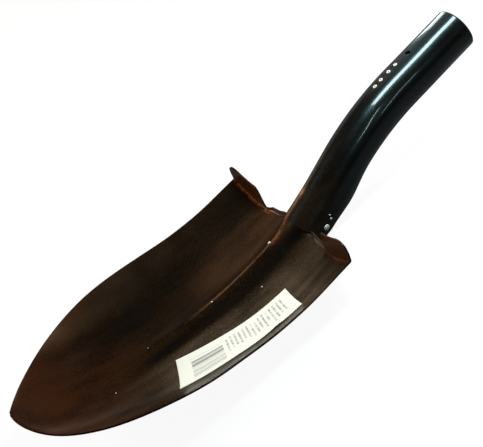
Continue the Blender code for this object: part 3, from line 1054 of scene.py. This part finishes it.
right_dish = fading(across, -0.015, 0.012) * (1 - towards_point)
right_dish = right_dish * (1 - 0.65 * rising(along, 0.238, 0.028))
right_dish = right_dish * (0.25 + 0.75 * rising(along, 0.095, 0.045))
right_dish = right_dish * (1 - 0.8 * fading(across, -0.066, 0.014) * fading(along, 0.22, 0.03))

# The thin mark holds thin lacquer and painted light left of the crest; the dusty mark holds dust, that
# painted light and the crest's painted highlight; the rubbed mark is painted coppery highlight; the pooled
# mark is painted shade.
thin = near_rim * (0.3 + 0.7 * towards_point) + 0.75 * towards_point + 1.3 * on_tread + 0.6 * by_crest
dusty = (1.3 * right_dish + 0.40 * by_crest + crest_line) * (1 - on_tread)
rubbed = 0.9 * at_fold + 0.12 * left_tread + (0.5 * flank + 0.45 * crest_line) * (1 - on_tread)
pooled = 1.2 * beside_ridge + 0.7 * left_rim + 0.9 * left_dish + low_right
dull = hump(across, 0.086, 0.020) * hump(along, 0.105, 0.045)
mark(pressed_blade, thin=thin, pooled=pooled, dusty=dusty, rubbed=rubbed, dull=dull)

# %% Where the socket's lacquer is thin and blue black, with painted shade and a painted coppery highlight
along, across, height = in_blade_frame(rolled_socket)
in_front = rising(height - (NECK_START[2] + 0.5 * (along - NECK_START[0])), 0.0, 0.01)
# Painted highlight: a coppery stripe down the left flank of the neck, with a spot at the tongue's top.
tongue_top = hump(along, 0.304, 0.0035) * hump(across, 0.0065, 0.0035)
flank = hump(across, 0.0062, 0.0026) * fading(along, 0.307, 0.004)
right_side = np.minimum(across + 0.006, 0.0)
thin = 0.03 * fading(along, 0.37, 0.07)
# Blue black on the upper socket as its own tone, and painted shade that turns its right side blue black
# too.
pooled = smooth_step((along - 0.315) / 0.05 - 20 * right_side)
mark(rolled_socket, thin=thin, pooled=pooled, rubbed=(0.45 * flank + 0.9 * tongue_top) * in_front)

# %% Dark lacquer over steel
# Besides the lacquer's own tones, the thin brown and the dusty brown also paint light, the blue black also
# paints shade, and the rubbed copper paints highlights.
BROWN = (0.0125, 0.0056, 0.0020)
DEEP_BROWN = (0.0036, 0.0021, 0.0011)
THIN_BROWN = (0.0560, 0.0115, 0.0018)
BLUE_BLACK = (0.0018, 0.0021, 0.0021)
DUSTY_BROWN = (0.0760, 0.0510, 0.0320)
SPECK_BROWN = (0.0600, 0.0340, 0.0150)
RUBBED = (0.2600, 0.0850, 0.0220)
CLOUD_SIZE = 0.060
STREAK_SIZE = 0.012
SPECK_SIZE = 0.0018
WORN_SIZE = 0.004
WAVE_SIZE = 0.045
PEBBLE_SIZE = 0.0022
WAVE_DEPTH = 0.0010


def lacquer(name, tint, specks, roughest, smoothest, pebble, pooled_coat=0.0, **constants):
    """One dipped finish, which reads its thin lacquer and painted light, its blue black and painted shade,
    its dust and painted light, its painted coppery highlight, and how dull it is.
    """
    made = Finish(name, Metallic=0.0, Coat_IOR=1.45, Specular_Tint=tint, **constants)
    thin, pooled, dusty, rubbed, dull = (
        made.out("ShaderNodeAttribute", {}, "Fac", attribute_name=key)
        for key in ("thin", "pooled", "dusty", "rubbed", "dull")
    )
    clouds = made.noise(CLOUD_SIZE, detail=4.0, roughness=0.55)
    streaks = made.noise(STREAK_SIZE, stretch=(0.18, 1.0, 1.0))
    cloudy = clouds + streaks
    grain = made.between(made.noise(SPECK_SIZE, detail=2.0, roughness=0.7), 0.46, 0.68)

    colour = made.mix(made.between(cloudy, 0.84, 1.12), DEEP_BROWN, BROWN)
    # Thin lacquer and painted light warm the colour; blue black is the socket's tone and painted shade.
    colour = made.mix(thin * (cloudy * 0.9 - 0.30), colour, THIN_BROWN)
    colour = made.mix(pooled * made.between(clouds, 0.25, 0.60), colour, BLUE_BLACK)
    # Dust and painted light lighten it in streaks.
    film = dusty * (grain * 0.45 + 0.60) * (streaks * 2.6 - 0.35)
    colour = made.mix(film, colour, DUSTY_BROWN)
    colour = made.mix(grain * specks * (1.0 - pooled * 0.8), colour, SPECK_BROWN)
    # A painted coppery highlight, a little smoother than the rest.
    worn = rubbed * made.between(made.noise(WORN_SIZE), 0.30, 0.55)
    made.feed("Base Color", made.mix(worn, colour, RUBBED))

    gloss = clouds * (roughest - smoothest) + smoothest
    made.feed("Roughness", gloss + grain * 0.06 + dull * 0.30 - worn * 0.12)
    if pooled_coat:
        made.feed("Coat Weight", pooled * pooled_coat + 0.04)
    waves = made.noise(WAVE_SIZE, detail=1.0)
    pebbles = made.noise(PEBBLE_SIZE, detail=2.0)
    normal = made.relief((waves, WAVE_DEPTH), (pebbles, pebble))
    made.feed("Normal", normal)
    made.feed("Coat Normal", normal)
    print(f"{name}: {len(made.tree.nodes)} nodes")
    return made


blade_lacquer = lacquer(
    "brown lacquer", (1.0, 0.58, 0.30), specks=0.24, roughest=0.36, smoothest=0.21, pebble=0.00002,
    IOR=1.22, Coat_Weight=0.03, Coat_Roughness=0.14,
)
socket_lacquer = lacquer(
    "blue black lacquer", (0.55, 0.95, 1.0), specks=0.08, roughest=0.34, smoothest=0.22,
    pebble=0.000001, pooled_coat=0.6, IOR=1.36, Coat_Roughness=0.06,
)
bead_lacquer = lacquer(
    "lacquered bead", (0.80, 0.95, 1.0), specks=0.10, roughest=0.40, smoothest=0.25, pebble=0.00002,
    IOR=1.38, Coat_Weight=0.5, Coat_Roughness=0.10,
)

# %% [markdown]
# ## Drops with painted glints
# The drops and the rims of the punch marks are the only light spots on the head. Their pale
# colour is a painted glint, under a hard clear skin that catches every lamp. The colour goes
# from grey to a warmer tone from drop to drop.

# %% Painted glints on the drops
GREY_DROP = (0.66, 0.64, 0.58)
WARM_DROP = (0.90, 0.87, 0.77)

bright = Finish("bright drops", Metallic=0.0, IOR=1.5, Coat_Weight=1.0, Coat_Roughness=0.05)
# The pale base colour is a painted glint.
bright.feed("Base Color", bright.mix(bright.noise(0.006, detail=2.0), GREY_DROP, WARM_DROP))
drop_skin = bright.noise(0.0006, detail=2.0)
bright.feed("Roughness", drop_skin * 0.15 + 0.15)
bright.feed("Normal", bright.relief((drop_skin, 0.00004)))
print("drop finish:", len(bright.tree.nodes), "nodes")

# %% [markdown]
# ## The print on the label
# The real label carries a printed block and some lines of small type. Here they are only
# marks: parallel stripes of uneven weight, and columns of broken dashes. Both come from the
# label's own UV map, one direction along the strip and one across it, with white noise
# deciding how heavy each stripe is, which dashes are there and where a line ends.

# %% Helpers for the print
STRIPE_BLOCK = ((0.11, 0.37), (0.16, 0.84))
TYPE_BLOCK = ((0.40, 0.93), (0.14, 0.80))
STRIPES_ACROSS = 62.0
TYPE_LINES = 28.0
DASHES_ACROSS = 70.0

printed = Finish("printed paper", Metallic=0.0, IOR=1.4)
on_label = {"Vector": printed.out("ShaderNodeUVMap", {}, uv_map="print")}
strip, width = (printed.out("ShaderNodeSeparateXYZ", on_label, axis) for axis in "XY")


def inside(value, low, high, soft=0.004):
    """1 between low and high, and 0 outside."""
    rises = printed.between(value, low - soft, low + soft)
    return rises * printed.between(value, high + soft, high - soft)


def in_block(block):
    """1 in a block of the print, given as its reach along the strip and across it."""
    return inside(strip, *block[0]) * inside(width, *block[1])


def cell_noise(first, first_count, second=0.0, second_count=1.0):
    """One random number from 0 to 1 for each cell of the strip."""
    a = printed.math("FLOOR", first * first_count)
    b = printed.math("FLOOR", second * second_count)
    cell = printed.out("ShaderNodeCombineXYZ", {"X": a, "Y": b})
    return printed.out("ShaderNodeTexWhiteNoise", {"Vector": cell}, "Value")


# %% White paper with generic print
PAPER_WHITE = (0.92, 0.895, 0.79)
PAPER_AGED = (0.87, 0.84, 0.73)
INK = (0.20, 0.20, 0.20)
STRIPE_INK = 0.80
TYPE_INK = 0.66
FIBRE_SIZE = 0.0009
STAIN_SIZE = 0.03

stripes = printed.between(cell_noise(width, STRIPES_ACROSS), 0.42, 0.52) * in_block(STRIPE_BLOCK)
in_line = inside(printed.math("FRACT", strip * TYPE_LINES), 0.22, 0.68, 0.06)
dashes = printed.between(cell_noise(width, DASHES_ACROSS, strip, TYPE_LINES), 0.30, 0.42)
line_end = cell_noise(strip, TYPE_LINES) * 0.34 + 0.46
letters = in_line * dashes * in_block(TYPE_BLOCK) * printed.between(line_end - width, 0.0, 0.01)
ink = printed.math("MAXIMUM", stripes * STRIPE_INK, letters * TYPE_INK)
fibres = printed.noise(FIBRE_SIZE)
stain = printed.noise(STAIN_SIZE)
printed.feed("Base Color", printed.mix(ink, printed.mix(stain, PAPER_WHITE, PAPER_AGED), INK))
printed.feed("Roughness", fibres * 0.2 + 0.42)
printed.feed("Normal", printed.relief((stain, 0.0006), (fibres, 0.00003)))
print("label finish:", len(printed.tree.nodes), "nodes")

# %% [markdown]
# ## The floor
# The head lies on a plain white floor in a dim room. The floor glows for the camera, which
# takes it to white without more light on the steel, and it keeps the soft shadow. Mirrors
# in the lacquer see only a little of that glow, because the photographed head mirrors a
# dark room, and a full white there would turn its lacquer grey.

# %% The floor
FLOOR_SIZE = 6.0
FLOOR_PATCHES = 0.4
FLOOR_TONES = ((0.08, 0.08, 0.08), (0.10, 0.10, 0.10))
SEEN_BY_CAMERA = 0.93
SEEN_IN_MIRRORS = 0.03
WHITE = (1.0, 1.0, 1.0)

floor_shape = bmesh.new()
bmesh.ops.create_grid(floor_shape, x_segments=2, y_segments=2, size=FLOOR_SIZE)
floor = object_from("floor", floor_shape)
paint = Finish("white floor", Roughness=0.9, IOR=1.2)
paint.feed("Base Color", paint.mix(paint.noise(FLOOR_PATCHES, detail=2.0), *FLOOR_TONES))
direct, glossy, through = (
    paint.out("ShaderNodeLightPath", {}, f"Is {kind} Ray") for kind in ("Camera", "Glossy", "Transmission")
)
seen = direct * SEEN_BY_CAMERA + paint.math("MAXIMUM", glossy, through) * SEEN_IN_MIRRORS
glow = paint.out("ShaderNodeEmission", {"Color": WHITE, "Strength": seen})
total = paint.out("ShaderNodeAddShader", {0: paint.shader.outputs[0], 1: glow})
paint.put(paint.tree.nodes["Material Output"].inputs[0], total)
floor.data.materials.append(paint.material)
print("floor tones", FLOOR_TONES)

# %% [markdown]
# ## The lights
# A glossy dark thing shows its surroundings more than its own colour, so each light is a
# soft panel, placed by following the mirror direction from a bright spot in the photograph.
# The strip over the socket draws its long streak and lights the dish. Two tubes behind the
# camera draw the thin lines beside it, and a window by the mouth the line there. Two warm
# lamps light the dust and the label, and a pale wall, a far backdrop and a tan card give
# the dark sides a faint sheen. The world is nearly black for all but the camera.

# %% The panels of light
ALONG_SOCKET = (0.99, 0.12, 0.0)
LEVEL = (1.0, 0.0, 0.0)
HEAD = Vector((0.0, 0.0, 0.04))
SOCKET = Vector((0.20, 0.0, 0.08))
FOOT = SOCKET * 0.2
MOUTH = Vector((0.232, 0.004, 0.093))
COOL = (0.86, 0.98, 1.0)
WARM = (1.0, 0.97, 0.92)
TAN = (1.0, 0.72, 0.50)
SLANT = (0.11, 0.0, 0.20)
FAINT_SLANT = (0.23, 0.0, 0.15)


def around(azimuth, elevation, distance, centre=HEAD):
    """The place that is seen from the centre in this direction, in degrees, and this far off."""
    a, e = math.radians(azimuth), math.radians(elevation)
    return centre + distance * Vector((math.cos(a) * math.cos(e), math.sin(a) * math.cos(e), math.sin(e)))


for name, place, aim, long_side, size, brightness, colour in (
    ("strip over the socket", (0.245, -0.053, 0.45), SOCKET, ALONG_SOCKET, (0.26, 0.100), 28.0, COOL),
    ("slanting tube behind the camera", (0.055, -1.0, 0.915), SOCKET, SLANT,
     (0.34, 0.034), 24.0, COOL),
    ("faint tube behind the camera", (0.385, -1.0, 0.545), SOCKET, FAINT_SLANT,
     (0.30, 0.040), 9.0, COOL),
    ("pale wall", around(62, 46, 1.2, SOCKET), SOCKET, LEVEL, (0.70, 0.85), 0.45, COOL),
    ("lamp beyond the handle", around(18, 27, 1.8), HEAD, LEVEL, (0.5, 0.5), 20.0, WARM),
    ("lamp beyond the point", around(138, 29, 1.8), HEAD, LEVEL, (0.5, 0.5), 24.0, WARM),
    ("far backdrop", around(70, 12, 2.4), HEAD, LEVEL, (2.4, 1.0), 0.25, WARM),
    ("tan card", around(94.5, 5, 0.85, FOOT), FOOT, LEVEL, (0.13, 0.20), 1.3, TAN),
    ("window by the mouth", (0.350, 0.265, 0.191), MOUTH, LEVEL, (0.050, 0.14), 9.0, COOL),
):
    light = bpy.data.lights.new(name, "AREA")
    light.shape = "RECTANGLE"
    light.size, light.size_y = size
    light.energy = math.pi * size[0] * size[1] * brightness
    light.color = colour
    away = (Vector(place) - aim).normalized()
    side = (Vector(long_side) - away * away.dot(Vector(long_side))).normalized()
    facing_aim = Matrix((side, away.cross(side), away)).transposed().to_4x4()
    new_object(name, light).matrix_world = Matrix.Translation(place) @ facing_aim
    print(f"{name}: {light.energy:.1f} W")

# %% The world
ROOM = (0.85, 0.93, 1.0)
ROOM_STRENGTH = 0.014

world = bpy.data.worlds.new("dim room")
world.use_nodes = True
sky = Nodes(world.node_tree)
room = sky.tree.nodes["Background"]
sky.put(room.inputs["Color"], ROOM)
sky.put(room.inputs["Strength"], ROOM_STRENGTH)
white = sky.out("ShaderNodeBackground", {"Color": WHITE})
for_camera = sky.out("ShaderNodeLightPath", {}, "Is Camera Ray")
either = sky.out("ShaderNodeMixShader", {0: for_camera, 1: room.outputs[0], 2: white})
sky.put(sky.tree.nodes["World Output"].inputs["Surface"], either)
bpy.context.scene.world = world
bpy.context.scene.view_settings.view_transform = "Standard"
print("world nodes:", len(sky.tree.nodes))

# %% [markdown]
# ## Hand the pieces over
# Every piece gets its finish and rides on the one rigid body, and the record's material slot
# that it belongs to is printed beside it. Five of them stand for the solids that they dress,
# and the two groups of marks are extra.

# %% Put the finishes on and tie the pieces to the frame
for piece, node, slot, finish in (
    (pressed_blade, "blade", "lacquered_blade", blade_lacquer),
    (rolled_socket, "socket", "lacquered_socket", socket_lacquer),
    (seam_bead, "socket_seam_weld", "lacquered_weld", bead_lacquer),
    (neck_bead, "neck_weld", "lacquered_weld", bead_lacquer),
    (label, "paper_label", "paper", printed),
    (socket_marks, None, "lacquered_socket", bright),
    (blade_marks, None, "lacquered_blade", bright),
):
    piece.data.materials.clear()
    piece.data.materials.append(finish.material)
    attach(piece, "root")
    if node:
        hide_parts(node)
    print(piece.name, "has", finish.material.name, "in slot", slot)
